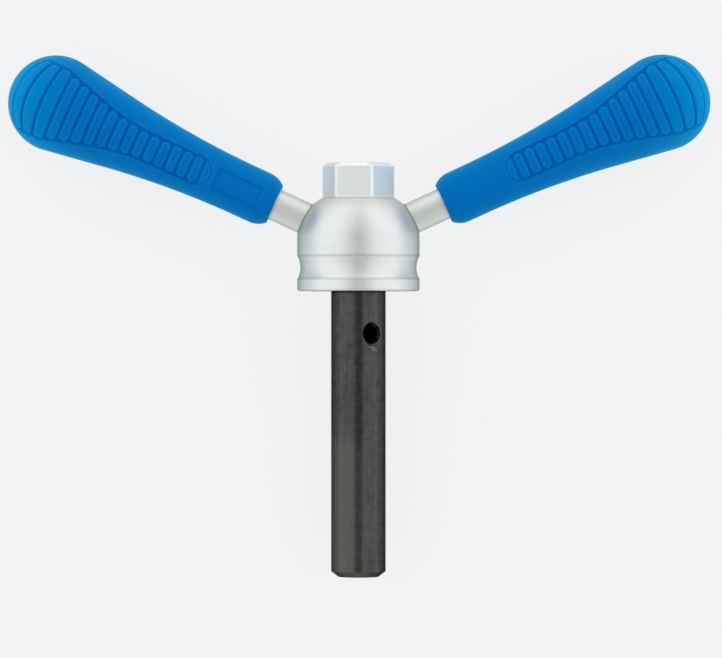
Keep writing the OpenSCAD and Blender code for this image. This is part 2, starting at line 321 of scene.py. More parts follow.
def moulded_edge(inside, drop, width):
    """Depth beside an edge that rounds off over width and then falls to the channel's floor."""
    rounded = drop * np.clip(1 + inside / width, 0, 1) ** 2
    wall = (CHANNEL_DEPTH - drop) * (1 - (1 - np.clip(inside / WALL_W, 0, 1)) ** 2)
    return rounded + wall


def panel_depth(a, y):
    """Depth of the channels around the ribs; they fade at both ends of the panel."""
    from_panel = moulded_edge(inside_panel(a, y), PANEL_EDGE_DROP, PANEL_EDGE_W)
    from_rib = moulded_edge(-inside_ribs(a, y), RIB_EDGE_DROP, RIB_EDGE_W)
    at_round_end = 1 - smooth_step(PANEL_ROUND_A - ROUND_END_FADE_L, FIRST_RIB_A - RIB_W / 2, a)
    at_tip = smooth_step(PANEL_END_A - TIP_FADE_START, PANEL_END_A - TIP_FADE_END, a)
    return np.minimum(from_panel, from_rib) * (1 - ROUND_END_FADE * at_round_end - TIP_FADE * at_tip)


def inside_pad(a, y):
    """How far inside the plain pad near the grip's inner end a point lies, below 0 outside it."""
    middle = GRIP_START + PAD_START + PAD_L / 2 - BALL_S
    return rounded_box(a - middle, y, PAD_L / 2, PAD_HALF_W, PAD_CORNER_R)


def pad_line(inside):
    """1 on the fine line that is sunk along the pad's edge, 0 away from it."""
    return 1 - smooth_step(PAD_LINE_FLAT_W, PAD_LINE_HALF_W, np.abs(inside - PAD_LINE_IN))


def panel_painted_light(a, y):
    """1 where the ribs' edges get a painted highlight, less along the panel's edge, and -1 where the channels
    get painted shade.
    """
    rib_edge = 1 - smooth_step(0, RIB_HIGHLIGHT_HALF_W, np.abs(inside_ribs(a, y) - RIB_HIGHLIGHT_IN))
    panel_edge = 1 - smooth_step(0, PANEL_HIGHLIGHT_HALF_W, np.abs(inside_panel(a, y) + PANEL_HIGHLIGHT_OUT))
    channel = smooth_step(SHADE_START, SHADE_FULL, panel_depth(a, y) / CHANNEL_DEPTH)
    return np.maximum(rib_edge, PANEL_EDGE_HIGHLIGHT * panel_edge) - channel


def around_gap(middle):
    """Places of the mesh rows over a gap and half of the ribs beside it: close together at its walls."""
    steps = np.array([0.3, 0.4, 0.5, 0.6, 0.7, 0.78, 0.85, 0.92, 1.05, 1.25, 1.5, 1.8, 2.15])
    return np.concatenate([middle - steps[::-1], [middle], middle + steps])


def body_rows():
    """Distances along the rod of a grip's mesh rings, from its inner end to the middle of the ball."""
    round_s = GRIP_START + GRIP_END_L
    panel_s = BALL_S + PANEL_ROUND_A - PANEL_HALF_W
    first_gap_s = BALL_S + FIRST_RIB_A - RIB_PITCH / 2
    rows = [GRIP_START + GRIP_END_L * (1 - np.cos(np.linspace(0, np.pi / 2, 13)))]
    rows.append(np.linspace(round_s, panel_s, 90)[1:-1])
    rows.append(np.arange(panel_s, first_gap_s - 2.2, 0.16))
    rows += [around_gap(first_gap_s + i * RIB_PITCH) for i in range(RIB_COUNT + 1)]
    rows = np.concatenate(rows)
    return np.append(rows[rows < BALL_S - 0.1], BALL_S)


def ball_turns():
    """Angles of the ball's mesh rows, from its front over the tip to its back."""
    gaps = np.concatenate([around_gap(gap * BALL_R) for gap in BALL_GAPS]) / BALL_R
    ribs = np.radians([0, 3, 18.9, 21, 24, 27, 29, 41.1, 43, 46.5, 48.4])
    front = np.sort(np.concatenate([ribs, gaps, np.radians([63, 66.5, 70, 74, 78, 82, 86])]))
    return np.concatenate([front, [np.pi / 2], np.pi - front[::-1]])


def column_heights(a, radius):
    """Places of the mesh columns across one face of a grip, as angles from -90 to 90 degrees.

    They follow the panel's edge, and lie close together where its wall and the ribs' ends are."""
    edge = panel_half(a)
    inner = np.linspace(0, edge - 3.1, 11)
    wall = edge - np.array([
        2.8, 2.55, 2.3, 2.1, 1.9, 1.7, 1.5, 1.3, 1.15, 1.0, 0.9, 0.8, 0.65, 0.45, 0.25, 0.1, 0, -0.12, -0.3])
    by_height = np.arcsin(np.concatenate([inner, wall]) / radius)
    side = np.linspace(by_height[-1], np.pi / 2, 11)[1:]
    right = np.concatenate([by_height, side])
    return np.concatenate([-right[:0:-1], right])


def grip_points(with_pad):
    """Points, faces and painted light of a grip along +X, with its front up."""
    # Body, in rings from the inner end to the middle of the ball
    rings = []
    painted_light = []
    for s in body_rows():
        radius, growth = grip_radius(s)
        front = column_heights(s - BALL_S, max(radius, NECK_R))
        around = np.concatenate([front, np.pi - front[-2:0:-1]])
        a = np.full(around.shape, s - BALL_S)
        y = radius * np.sin(around)
        depth = panel_depth(a, y)
        with_painted_light = panel_painted_light(a, y)
        if with_pad:
            on_front = np.cos(around) > 0
            inside = inside_pad(a, y)
            line = on_front * pad_line(inside)
            recess = on_front * PAD_DEPTH * smooth_step(0, PAD_WALL_W, inside)
            depth = depth + recess + PAD_LINE_DEPTH * line
            # The fine line along the pad's edge gets painted shade
            with_painted_light = with_painted_light - PAD_LINE_SHADE * line
        painted_light.append(with_painted_light)
        lean = 1 / np.hypot(1, growth)
        out = radius - depth * lean
        along = s + depth * growth * lean
        rings.append(np.stack([along, out * np.sin(around), out * np.cos(around)], axis=-1))
    columns = len(rings[0])
    # Inner end: a flat ring round the rod, and a short way into the bore
    bore_r = ROD_R + ROD_CLEARANCE
    for s, radius in [(GRIP_START, END_RING_R), (GRIP_START, bore_r), (GRIP_START + BORE_SHOWN, bore_r)]:
        spread = rings[0][:, 1:] * (radius / np.hypot(rings[0][:, 1], rings[0][:, 2]))[:, None]
        rings.insert(0, np.column_stack([np.full(columns, s), spread]))
        painted_light.insert(0, np.zeros(columns))
    points = [np.concatenate(rings)]
    faces = grid_faces(len(rings), columns, True)
    # Outer half of the ball, in bands that swing from its front over the tip to its back
    turns = ball_turns()
    across = column_heights(0, BALL_R)
    turn, lift = np.meshgrid(turns, across, indexing="ij")
    y = BALL_R * np.sin(lift)
    a = np.minimum(turn, np.pi - turn) * BALL_R
    painted_light.append(panel_painted_light(a, y).ravel())
    out = BALL_R - panel_depth(a, y)
    ball = [BALL_S + out * np.sin(turn) * np.cos(lift), out * np.sin(lift), out * np.cos(turn) * np.cos(lift)]
    faces += grid_faces(len(turns), len(across), False, len(points[0]))
    points.append(np.stack(ball, axis=-1).reshape(-1, 3))
    return np.concatenate(points), faces, np.concatenate(painted_light)


def place_on_rod(points, rod_turn, grip_turn, shift=0):
    """Turns a grip about its rod, moves it out by shift, then lays it along the rod."""
    turned = points @ np.array(Matrix.Rotation(grip_turn, 3, "X")).T + np.array([shift, 0, 0])
    return turned @ np.array(Matrix.Rotation(rod_turn, 3, "Z")).T + np.array([0, ROD_H, 0])


def make_grips(material):
    """Both grips: the same moulding, but that only the left one has the pad."""
    points, faces, painted_light = grip_points(with_pad=True)
    left = place_on_rod(points, np.pi - ROD_ANGLE, LEFT_GRIP_TURN)
    make_piece("left_grip_moulding", left, faces, "left_grip", material, painted_light)
    points, faces, painted_light = grip_points(with_pad=False)
    right = place_on_rod(points, ROD_ANGLE, RIGHT_GRIP_TURN, RIGHT_GRIP_SHIFT)
    make_piece("right_grip_moulding", right, faces, "right_grip", material, painted_light)


# Hub

def groove_profile():
    """Points of the waist groove, from its lower edge to its upper edge."""
    arc_r = (GROOVE_W ** 2 / 4 + GROOVE_DEPTH ** 2) / (2 * GROOVE_DEPTH)
    arc_x = HUB_R + arc_r - GROOVE_DEPTH
    soft = GROOVE_EDGE_ROUND
    reach = arc_r + soft
    across = arc_x - HUB_R + soft
    up = np.sqrt(reach ** 2 - across ** 2)
    slope = np.degrees(np.arctan2(up, across))
    lower = arc((HUB_R - soft, GROOVE_H - up), soft, 0, slope, 8)
    hollow = arc((arc_x, GROOVE_H), arc_r, 180 + slope, 180 - slope, 28)
    upper = arc((HUB_R - soft, GROOVE_H + up), soft, -slope, 0, 8)
    return lower + hollow[1:] + upper[1:]


def hub_profile():
    """Radius and height of the turned body, from under the rim to the shoulder."""
    underside = [(r, 0) for r in (UNDERSIDE_START_R, 14, 20, HUB_R - RIM_ROUND - 0.5)]
    rim = arc((HUB_R - RIM_ROUND, RIM_ROUND), RIM_ROUND, -90, 0, 8)
    lower_wall = [(HUB_R, RIM_ROUND + 0.4), (HUB_R, RIM_ROUND + 1.2)]
    groove = groove_profile()
    groove_top = groove[-1][1]
    wall = [(HUB_R, h) for h in np.linspace(groove_top + 2, WALL_H, 10)]
    dome_end = np.degrees(np.arcsin(DOME_H / DOME_R))
    dome = arc((HUB_R - DOME_R, WALL_H), DOME_R, 0, dome_end, 60)
    return underside + rim + lower_wall + groove + wall + dome[1:]


def hub_angles():
    """Column angles round the hub: close together where the hexagon's flats end."""
    flat = np.linspace(0, 21, 11)
    edge = np.arange(21.5, 27.9, 0.35)
    half = np.concatenate([flat, edge, [28.4, 29.2]])
    sextant = np.radians(np.concatenate([-half[:0:-1], half, [30]]))
    middles = HEX_TURN + np.radians(30 + 60 * np.arange(6))
    angles = np.concatenate([middle + sextant for middle in middles])
    off_flat = np.tile(np.abs(sextant), 6)
    return angles, off_flat


def hexagon_rings(off_flat):
    """Radius and height of each column at each ring, from the hexagon's foot to its top."""
    def outline(share):
        """The outline at a share of the chamfer's width: flats and turned corners, softly joined."""
        flat = (HEX_AF / 2 - HEX_CHAMFER_W * share) / np.cos(off_flat)
        corner = HEX_CORNER_R - HEX_CORNER_CHAMFER_W * share
        return (flat + corner - np.hypot(flat - corner, HEX_SOFT_CORNER)) / 2

    level = np.ones(off_flat.shape)
    foot = outline(0)
    rings = []
    # A small sloping foot, then the faces
    slope = np.minimum(HEX_FOOT_W, SHOULDER_R - foot)
    for up in (0, 0.2, 0.4, 0.6, 0.8, 1):
        rings.append((foot + slope * (1 - up), (HUB_H + HEX_FOOT_H * up) * level))
    chamfer_h = HEX_TOP - HEX_CHAMFER_H
    for h in np.linspace(HUB_H + HEX_FOOT_H + 0.9, chamfer_h - HEX_SOFT_EDGE - 0.1, 7):
        rings.append((foot, h * level))
    # Soft edges from the faces to the chamfer, and from the chamfer to the flat top
    for t in np.linspace(0, 1, 6):
        rings.append((outline(0.2 * t * t), (chamfer_h + HEX_SOFT_EDGE * (2 * t - 1)) * level))
    for share in (0.4, 0.6):
        rings.append((outline(share), (chamfer_h + HEX_CHAMFER_H * share) * level))
    for t in np.linspace(0, 1, 6):
        rings.append((outline(0.8 + 0.4 * t), (HEX_TOP - HEX_SOFT_EDGE * (1 - t) ** 2) * level))
    top = outline(1.2)
    for share in (0.9, 0.6, 0.3, 0):
        rings.append((top * share, HEX_TOP * level))
    return rings


def make_hub(material):
    """The turned body and the hexagon as one skin of rings about the tool's axis."""
    angles, off_flat = hub_angles()
    same = np.ones(angles.shape)
    rings = [(r * same, h * same) for r, h in hub_profile()] + hexagon_rings(off_flat)
    points = [
        np.stack([radius * np.cos(angles), height, -radius * np.sin(angles)], axis=-1)
        for radius, height in rings
    ]
    faces = grid_faces(len(rings), len(angles), True)
    make_piece("hub_turning", np.concatenate(points), faces, "hub", material)


# Materials

# Sizes of their patterns in millimetres
ZINC_CLOUD = 9
TURNING_BAND = 2.2
# A real feed of 0.1 mm is drawn coarser so that its lines show
TURNING_LINE = 0.5
ROD_CLOUD = 5
OXIDE_MOTTLE = 3
SLIDING_STREAK = 1.1
PLASTIC_CLOUD = 12
MOULD_GRAIN = 0.3
RELIEF = 0.05
# A pattern is stretched by scaling its place down: round the hub's axis, and along the shaft
ROUND_STRETCH = 0.02
STREAK_STRETCH = 0.06
# Where the painted warm reflection and shade on the dome start, above the wall, and are full, below the
# hexagon
WARM_START_UP = 5
WARM_FULL_DOWN = 2
# Lines of painted shade on the hub: at the hexagon's foot, and from full to none beside the groove's edges
FOOT_BAND_H = 0.2
GROOVE_SHADE_FULL_W = 0.15
GROOVE_SHADE_W = 0.8
GROOVE_SHADE_SHARE = 0.45


def to_linear(hex_code):
    """A colour written as sRGB hex, as Blender's linear red, green, blue and alpha."""
    channels = [int(hex_code[i:i + 2], 16) / 255 for i in (1, 3, 5)]
    return [c / 12.92 if c <= 0.04045 else ((c + 0.055) / 1.055) ** 2.4 for c in channels] + [1]


def add_node(tree, kind, settings=None, inputs=None):
    """A node with its settings; each input is set to a value, or linked to another node's socket."""
    node = tree.nodes.new(kind)
    for name, value in (settings or {}).items():
        setattr(node, name, value)
    for name, value in (inputs or {}).items():
        if isinstance(value, bpy.types.NodeSocket):
            tree.links.new(value, node.inputs[name])
        else:
            node.inputs[name].default_value = value
    return node


def new_material(name):
    """An empty node material, its tree and its shader, which is linked to the output."""
    material = bpy.data.materials.new(name)
    material.use_nodes = True
    tree = material.node_tree
    tree.nodes.clear()
    shader = add_node(tree, "ShaderNodeBsdfPrincipled")
    add_node(tree, "ShaderNodeOutputMaterial", inputs={"Surface": shader.outputs["BSDF"]})
    return material, tree, shader


def zinc_on_turned_steel():
    """Bright zinc plate on turned steel: a satin silver that is slightly blue, with fine turning lines."""
    material, tree, shader = new_material("Bright zinc plate on turned steel")
    place = add_node(tree, "ShaderNodeTexCoord").outputs["Object"]
    height = add_node(tree, "ShaderNodeSeparateXYZ", inputs={"Vector": place}).outputs["Y"]
    # Clouds of a few millimetres, where the plating took a little more or less, and soft
    # bands round the axis that the lathe left under it
    clouds = add_node(tree, "ShaderNodeTexNoise", inputs={
        "Vector": place, "Scale": 1 / (ZINC_CLOUD * MM), "Detail": 4})
    along = add_node(tree, "ShaderNodeVectorMath", {"operation": "MULTIPLY"}, {
        0: place, 1: (ROUND_STRETCH, 1, ROUND_STRETCH)})
    bands = add_node(tree, "ShaderNodeTexNoise", inputs={
        "Vector": along.outputs[0], "Scale": 1 / (TURNING_BAND * MM), "Detail": 3})
    tone = add_node(tree, "ShaderNodeMix", inputs={
        0: 0.5, 2: clouds.outputs["Fac"], 3: bands.outputs["Fac"]})
    plate = add_node(tree, "ShaderNodeMix", {"data_type": "RGBA"}, {
        0: tone.outputs[0], 6: to_linear("#dae1e0"), 7: to_linear("#eef2f0")})
    # Painted light: high on the dome the plate is warmer, a painted warm reflection, and a little darker, a
    # painted shade
    upper = add_node(tree, "ShaderNodeMapRange", inputs={
        "Value": height, "From Min": (WALL_H + WARM_START_UP) * MM,
        "From Max": (HUB_H - WARM_FULL_DOWN) * MM})
    plate = add_node(tree, "ShaderNodeMix", {"data_type": "RGBA"}, {
        0: upper.outputs["Result"], 6: plate.outputs[2], 7: to_linear("#e1e2de")})
    # The milled hexagon is a little brighter and greener than the turned body
    milled = add_node(tree, "ShaderNodeMath", {"operation": "GREATER_THAN"}, {0: height, 1: HUB_H * MM})
    plate = add_node(tree, "ShaderNodeMix", {"data_type": "RGBA"}, {
        0: milled.outputs[0], 6: plate.outputs[2], 7: to_linear("#ecf2f0")})
    # Painted shade in the corner at the hexagon's foot and along both edges of the groove
    corner = add_node(tree, "ShaderNodeMath", {"operation": "COMPARE"}, {
        0: height, 1: HUB_H * MM, 2: FOOT_BAND_H * MM})
    off_groove = add_node(tree, "ShaderNodeMath", {"operation": "SUBTRACT"}, {0: height, 1: GROOVE_H * MM})
    off_groove = add_node(tree, "ShaderNodeMath", {"operation": "ABSOLUTE"}, {0: off_groove.outputs[0]})
    off_edge = add_node(tree, "ShaderNodeMath", {"operation": "SUBTRACT"}, {
        0: off_groove.outputs[0], 1: GROOVE_W / 2 * MM})
    off_edge = add_node(tree, "ShaderNodeMath", {"operation": "ABSOLUTE"}, {0: off_edge.outputs[0]})
    groove_edge = add_node(tree, "ShaderNodeMapRange", inputs={
        "Value": off_edge.outputs[0], "From Min": GROOVE_SHADE_FULL_W * MM, "From Max": GROOVE_SHADE_W * MM,
        "To Min": GROOVE_SHADE_SHARE, "To Max": 0.0})
    crease_shade = add_node(tree, "ShaderNodeMath", {"operation": "MAXIMUM"}, {
        0: corner.outputs[0], 1: groove_edge.outputs["Result"]})
    colour = add_node(tree, "ShaderNodeMix", {"data_type": "RGBA", "blend_type": "MULTIPLY"}, {
        0: crease_shade.outputs[0], 6: plate.outputs[2], 7: to_linear("#cfcfcb")})
    rough = add_node(tree, "ShaderNodeMapRange", inputs={
        "Value": clouds.outputs["Fac"], "From Min": 0.3, "From Max": 0.7, "To Min": 0.5, "To Max": 0.55})
    # The body is turned, so its grain runs round the axis; the hexagon is milled and has none
    turned = add_node(tree, "ShaderNodeMapRange", inputs={
        "Value": height, "From Min": HUB_H * MM, "From Max": (HUB_H + FOOT_BAND_H) * MM,
        "To Min": 0.5, "To Max": 0.0})
    around = add_node(tree, "ShaderNodeTangent", {"direction_type": "RADIAL", "axis": "Y"})
    # Painted dark reflection: seen at a slant the plate is darker and bluer, less so high on the dome
    slant = add_node(tree, "ShaderNodeMix", {"data_type": "RGBA"}, {
        0: upper.outputs["Result"], 6: to_linear("#2c5c66"), 7: to_linear("#c0ccce")})
    # Turning lines run round the axis
    lines = add_node(tree, "ShaderNodeTexNoise", inputs={
        "Vector": along.outputs[0], "Scale": 1 / (TURNING_LINE * MM), "Detail": 2})
    bump = add_node(tree, "ShaderNodeBump", inputs={
        "Height": lines.outputs["Fac"], "Strength": 0.15, "Distance": RELIEF * MM})
    tree.links.new(colour.outputs[2], shader.inputs["Base Color"])
    tree.links.new(rough.outputs["Result"], shader.inputs["Roughness"])
    tree.links.new(slant.outputs[2], shader.inputs["Specular Tint"])
    tree.links.new(bump.outputs["Normal"], shader.inputs["Normal"])
    tree.links.new(turned.outputs["Result"], shader.inputs["Anisotropic"])
    tree.links.new(around.outputs["Tangent"], shader.inputs["Tangent"])
    shader.inputs["Anisotropic Rotation"].default_value = 0.25
    shader.inputs["Metallic"].default_value = 1
    return material


def beside_hub(tree, place):
    """A mask for the rods: 1 where they meet the hub's dome, 0 from JOINT_LINE_W away from it."""
    flat = add_node(tree, "ShaderNodeVectorMath", {"operation": "MULTIPLY"}, {0: place, 1: (1, 0, 1)})
    radius = add_node(tree, "ShaderNodeVectorMath", {"operation": "LENGTH"}, {0: flat.outputs[0]})
    height = add_node(tree, "ShaderNodeSeparateXYZ", inputs={"Vector": place}).outputs["Y"]
    out = add_node(tree, "ShaderNodeMath", {"operation": "SUBTRACT"}, {
        0: radius.outputs["Value"], 1: (HUB_R - DOME_R) * MM})
    up = add_node(tree, "ShaderNodeMath", {"operation": "SUBTRACT"}, {0: height, 1: WALL_H * MM})
    up = add_node(tree, "ShaderNodeMath", {"operation": "MAXIMUM"}, {0: up.outputs[0], 1: 0.0})
    from_middle = add_node(tree, "ShaderNodeCombineXYZ", inputs={"X": out.outputs[0], "Y": up.outputs[0]})
    distance = add_node(tree, "ShaderNodeVectorMath", {"operation": "LENGTH"}, {0: from_middle.outputs[0]})
    return add_node(tree, "ShaderNodeMapRange", inputs={
        "Value": distance.outputs["Value"], "From Min": DOME_R * MM, "From Max": (DOME_R + JOINT_LINE_W) * MM,
        "To Min": 1.0, "To Max": 0.0}).outputs["Result"]


def zinc_on_drawn_steel():
    """Dull zinc plate on drawn bar: a greyer silver, with a dark line where it enters the hub."""
    material, tree, shader = new_material("Dull zinc plate on drawn steel")
    place = add_node(tree, "ShaderNodeTexCoord").outputs["Object"]
    clouds = add_node(tree, "ShaderNodeTexNoise", inputs={
        "Vector": place, "Scale": 1 / (ROD_CLOUD * MM), "Detail": 4})
    plate = add_node(tree, "ShaderNodeMix", {"data_type": "RGBA"}, {
        0: clouds.outputs["Fac"], 6: to_linear("#d8dbd7"), 7: to_linear("#e2e5e1")})
    colour = add_node(tree, "ShaderNodeMix", {"data_type": "RGBA"}, {
        0: beside_hub(tree, place), 6: plate.outputs[2], 7: to_linear("#6f7674")})
    rough = add_node(tree, "ShaderNodeMapRange", inputs={
        "Value": clouds.outputs["Fac"], "From Min": 0.3, "From Max": 0.7, "To Min": 0.5, "To Max": 0.56})
    tree.links.new(colour.outputs[2], shader.inputs["Base Color"])
    tree.links.new(rough.outputs["Result"], shader.inputs["Roughness"])
    shader.inputs["Metallic"].default_value = 1
    shader.inputs["Specular Tint"].default_value = to_linear("#9aa2a4")
    return material


def hole_place(tree, place):
    """Distance from the lock hole's axis, and the place as seen along it: Y points at the hub."""
    centred = add_node(tree, "ShaderNodeVectorMath", {"operation": "ADD"}, {
        0: place, 1: (0, LOCK_HOLE_DROP * MM, 0)})
    turned = add_node(tree, "ShaderNodeVectorRotate", {"rotation_type": "Y_AXIS"}, {
        "Vector": centred.outputs[0], "Angle": -LOCK_HOLE_TURN})
    flat = add_node(tree, "ShaderNodeVectorMath", {"operation": "MULTIPLY"}, {
        0: turned.outputs[0], 1: (1, 1, 0)})
    distance = add_node(tree, "ShaderNodeVectorMath", {"operation": "LENGTH"}, {0: flat.outputs[0]})
    where = add_node(tree, "ShaderNodeSeparateXYZ", inputs={"Vector": turned.outputs[0]})
    return distance.outputs["Value"], where


def olive_patch(tree, apart):
    """A mask for the shaft's lower left, which is lighter and slightly olive."""
    low = add_node(tree, "ShaderNodeMapRange", {"interpolation_type": "SMOOTHSTEP"}, {
        "Value": apart.outputs["Y"], "From Min": OLIVE_TOP * MM, "From Max": (OLIVE_TOP - OLIVE_FADE_DOWN) * MM})
    left = add_node(tree, "ShaderNodeMapRange", {"interpolation_type": "SMOOTHSTEP"}, {
        "Value": apart.outputs["X"], "From Min": OLIVE_RIGHT * MM, "From Max": (OLIVE_RIGHT - OLIVE_FADE_LEFT) * MM,
        "To Max": OLIVE_SHARE})
    return add_node(tree, "ShaderNodeMath", {"operation": "MULTIPLY"}, {
        0: low.outputs["Result"], 1: left.outputs["Result"]}).outputs[0]


def rubbed_marks(tree, where, front):
    """A mask for the curved marks towards the shaft's end, where a screw's head rubbed beside its hole."""
    flat = add_node(tree, "ShaderNodeCombineXYZ", inputs={"X": where.outputs["X"], "Y": where.outputs["Y"]})
    reach = add_node(tree, "ShaderNodeVectorMath", {"operation": "DISTANCE"}, {
        0: flat.outputs[0], 1: (MARKS_MIDDLE_X * MM, 0, 0)})
    rings = add_node(tree, "ShaderNodeMath", {"operation": "PINGPONG"}, {
        0: reach.outputs["Value"], 1: MARK_PITCH / 2 * MM})
    ring = add_node(tree, "ShaderNodeMapRange", {"interpolation_type": "SMOOTHSTEP"}, {
        "Value": rings.outputs[0], "From Min": MARK_PITCH * 0.24 * MM, "From Max": MARK_PITCH * 0.46 * MM})
    inner = add_node(tree, "ShaderNodeMath", {"operation": "GREATER_THAN"}, {
        0: reach.outputs["Value"], 1: MARKS_START_R * MM})
    outer = add_node(tree, "ShaderNodeMath", {"operation": "LESS_THAN"}, {
        0: reach.outputs["Value"], 1: (MARKS_START_R + MARK_COUNT * MARK_PITCH) * MM})
    # Each mark starts a little further to the right than the one above it
    skewed = add_node(tree, "ShaderNodeMath", {"operation": "MULTIPLY_ADD"}, {
        0: where.outputs["Y"], 1: MARKS_SKEW, 2: where.outputs["X"]})
    off_middle = add_node(tree, "ShaderNodeMath", {"operation": "ADD"}, {
        0: skewed.outputs[0], 1: MARKS_X * MM})
    off_middle = add_node(tree, "ShaderNodeMath", {"operation": "ABSOLUTE"}, {0: off_middle.outputs[0]})
    beside = add_node(tree, "ShaderNodeMapRange", inputs={
        "Value": off_middle.outputs[0], "From Min": 0.5 * MARKS_HALF_W * MM, "From Max": MARKS_HALF_W * MM,
        "To Min": 1.0, "To Max": 0.0})
    below = add_node(tree, "ShaderNodeMath", {"operation": "LESS_THAN"}, {
        0: where.outputs["Y"], 1: MARKS_TOP_Y * MM})
    marks = ring.outputs["Result"]
    for limit in (inner, outer, beside, below, front):
        marks = add_node(tree, "ShaderNodeMath", {"operation": "MULTIPLY"}, {0: marks, 1: limit.outputs[0]})
        marks = marks.outputs[0]
    return marks


def rim_highlight(tree, distance, where, front):
    """A mask for a painted highlight on the countersink's edge, on its right and towards the shaft's end."""
    edge = add_node(tree, "ShaderNodeMath", {"operation": "COMPARE"}, {
        0: distance, 1: (SINK_R + SINK_EDGE_OUT) * MM, 2: SINK_EDGE_HALF_W * MM})
    right = add_node(tree, "ShaderNodeMapRange", inputs={
        "Value": where.outputs["X"], "From Min": 0.4 * SINK_R * MM, "From Max": 0.7 * SINK_R * MM})
    below = add_node(tree, "ShaderNodeMapRange", inputs={
        "Value": where.outputs["Y"], "From Min": -0.5 * SINK_R * MM, "From Max": -0.7 * SINK_R * MM})
    patches = add_node(tree, "ShaderNodeMath", {"operation": "MAXIMUM"}, {
        0: right.outputs["Result"], 1: below.outputs["Result"]})
    edge = add_node(tree, "ShaderNodeMath", {"operation": "MULTIPLY"}, {
        0: edge.outputs[0], 1: patches.outputs[0]})
    return add_node(tree, "ShaderNodeMath", {"operation": "MULTIPLY"}, {
        0: edge.outputs[0], 1: front.outputs[0]}).outputs[0]


def black_oxide_on_ground_steel():
    """Black oxide on ground steel: a dark grey skin with a soft sheen, mottled and faintly streaked."""
    material, tree, shader = new_material("Black oxide on ground steel")
    place = add_node(tree, "ShaderNodeTexCoord").outputs["Object"]
    apart = add_node(tree, "ShaderNodeSeparateXYZ", inputs={"Vector": place})
    mottle = add_node(tree, "ShaderNodeTexNoise", inputs={
        "Vector": place, "Scale": 1 / (OXIDE_MOTTLE * MM), "Detail": 5})
    # Streaks and faint scratches along the shaft, from cutters that slid on it
    across = add_node(tree, "ShaderNodeVectorMath", {"operation": "MULTIPLY"}, {
        0: place, 1: (1, STREAK_STRETCH, 1)})
    streaks = add_node(tree, "ShaderNodeTexNoise", inputs={
        "Vector": across.outputs[0], "Scale": 1 / (SLIDING_STREAK * MM), "Detail": 4})
    tone = add_node(tree, "ShaderNodeMix", inputs={
        0: 0.45, 2: mottle.outputs["Fac"], 3: streaks.outputs["Fac"]})
    tone = add_node(tree, "ShaderNodeMapRange", inputs={
        "Value": tone.outputs[0], "From Min": 0.35, "From Max": 0.65})
    oxide = add_node(tree, "ShaderNodeMix", {"data_type": "RGBA"}, {
        0: tone.outputs["Result"], 6: to_linear("#404040"), 7: to_linear("#525251")})
    # On its lower left the shaft is lighter and slightly olive
    olive = add_node(tree, "ShaderNodeMix", {"data_type": "RGBA"}, {
        0: olive_patch(tree, apart), 6: oxide.outputs[2], 7: to_linear("#5d5e57")})
    # Where the oxide is rubbed off, greyer steel shows; the same grey on the countersink's edge is a painted
    # highlight
    distance, where = hole_place(tree, place)
    front = add_node(tree, "ShaderNodeMath", {"operation": "GREATER_THAN"}, {0: where.outputs["Z"], 1: 0.0})
    marks_and_highlight = add_node(tree, "ShaderNodeMath", {"operation": "MAXIMUM"}, {
        0: rubbed_marks(tree, where, front), 1: rim_highlight(tree, distance, where, front)})
    with_painted_light = add_node(tree, "ShaderNodeMix", {"data_type": "RGBA"}, {
        0: marks_and_highlight.outputs[0], 6: olive.outputs[2], 7: to_linear("#868684")})
    # Painted shade inside the hole makes it nearly black
    inside = add_node(tree, "ShaderNodeMath", {"operation": "LESS_THAN"}, {
        0: distance, 1: (SINK_R + HOLE_DARK_OUT) * MM})
    inside = add_node(tree, "ShaderNodeMath", {"operation": "MULTIPLY"}, {
        0: inside.outputs[0], 1: front.outputs[0]})
    hole_shaded = add_node(tree, "ShaderNodeMix", {"data_type": "RGBA"}, {
        0: inside.outputs[0], 6: with_painted_light.outputs[2], 7: to_linear("#1d1d1d")})
    # A painted shadow: a dark line in the corner under the hub
    corner = add_node(tree, "ShaderNodeMapRange", inputs={
        "Value": apart.outputs["Y"], "From Min": -CORNER_LINE_H * MM, "From Max": -CORNER_LINE_FULL_H * MM})
    colour = add_node(tree, "ShaderNodeMix", {"data_type": "RGBA"}, {
        0: corner.outputs["Result"], 6: hole_shaded.outputs[2], 7: to_linear("#191919")})
    rough = add_node(tree, "ShaderNodeMapRange", inputs={
        "Value": mottle.outputs["Fac"], "From Min": 0.3, "From Max": 0.7, "To Min": 0.22, "To Max": 0.32})
    tree.links.new(colour.outputs[2], shader.inputs["Base Color"])
    tree.links.new(rough.outputs["Result"], shader.inputs["Roughness"])
    shader.inputs["Metallic"].default_value = 1
    shader.inputs["Specular Tint"].default_value = to_linear("#9e9e9e")
    return material


